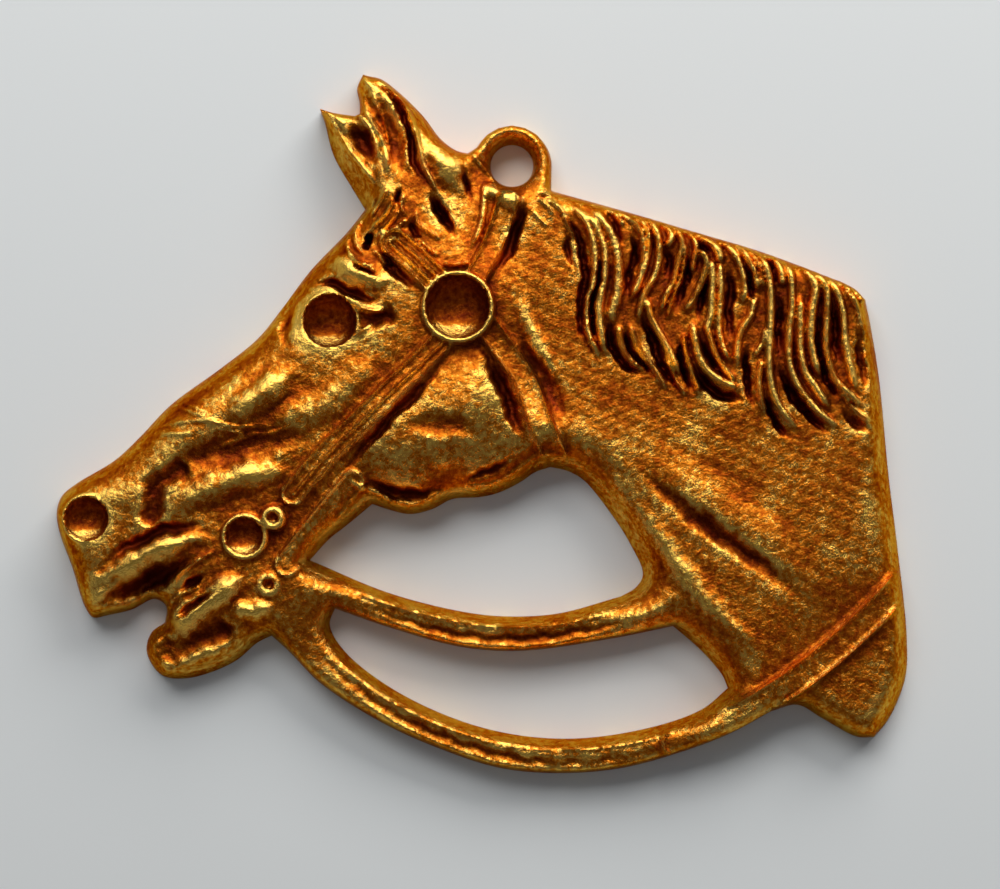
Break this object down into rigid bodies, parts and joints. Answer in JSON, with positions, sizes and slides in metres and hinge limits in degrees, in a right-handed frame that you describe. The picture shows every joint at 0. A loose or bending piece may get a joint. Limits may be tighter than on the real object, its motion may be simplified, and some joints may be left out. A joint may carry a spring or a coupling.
{
  "type": "horse brass",
  "caption": "Cast openwork ornament of a bridled horse's head and neck with mane and reins, lying on its flat back, with a small ring to hang it by.",
  "frame": {"origin": "middle of the back's bounding rectangle, on the flat back", "axes": "+X from the muzzle to the mane, +Y towards the hanging ring, +Z out of the relief"},
  "size_m": [0.0848, 0.0698, 0.0069],
  "materials": {
    "brass": "aged golden brass, satin with worn bright ridges, orange-brown patina and dark red-brown hollows"
  },
  "bodies": {
    "root": {"horse_brass": "brass"}
  },
  "joints": []
}
